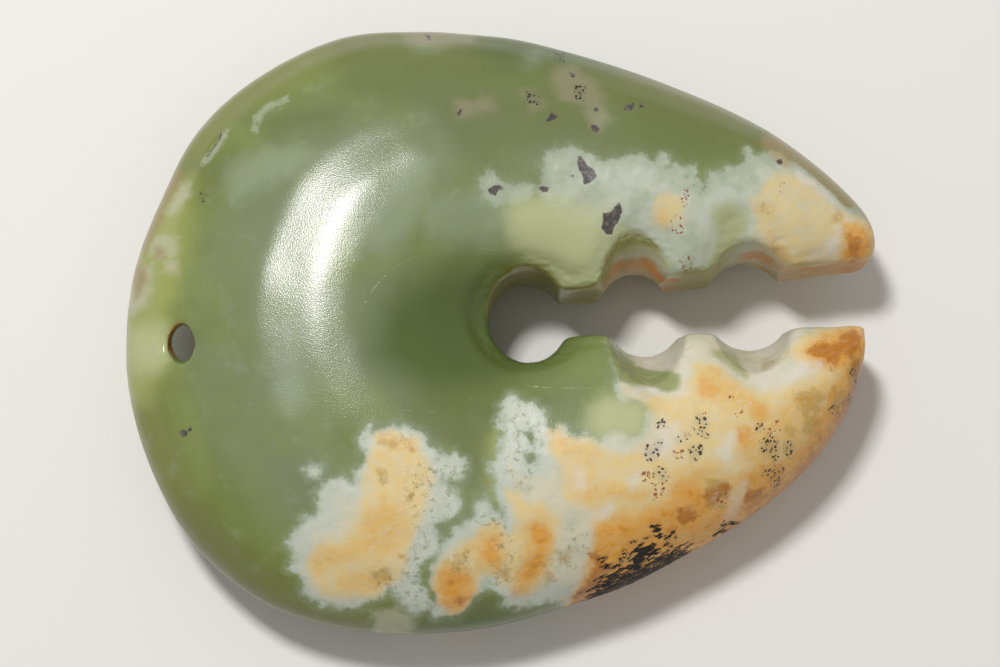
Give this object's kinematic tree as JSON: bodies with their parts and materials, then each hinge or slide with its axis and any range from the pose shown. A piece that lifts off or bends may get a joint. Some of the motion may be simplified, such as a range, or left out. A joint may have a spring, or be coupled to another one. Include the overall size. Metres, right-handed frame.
{
  "type": "jade effigy carving",
  "caption": "Domed jade pendant ground to a slotted ring whose toothed jaws open beside a round central hole, with a cord bore near the back edge.",
  "frame": {"origin": "middle of the stone's box, at the level of the worn flat that it lies on", "axes": "+X from the back edge to the jaw tips, +Y from the lower to the upper jaw, +Z out of the polished front face"},
  "size_m": [0.0828, 0.0676, 0.0204],
  "materials": {
    "jade": "polished, with an altered chalky and ochre skin along one jaw"
  },
  "bodies": {
    "root": {"jade_carving": "jade"}
  },
  "joints": []
}
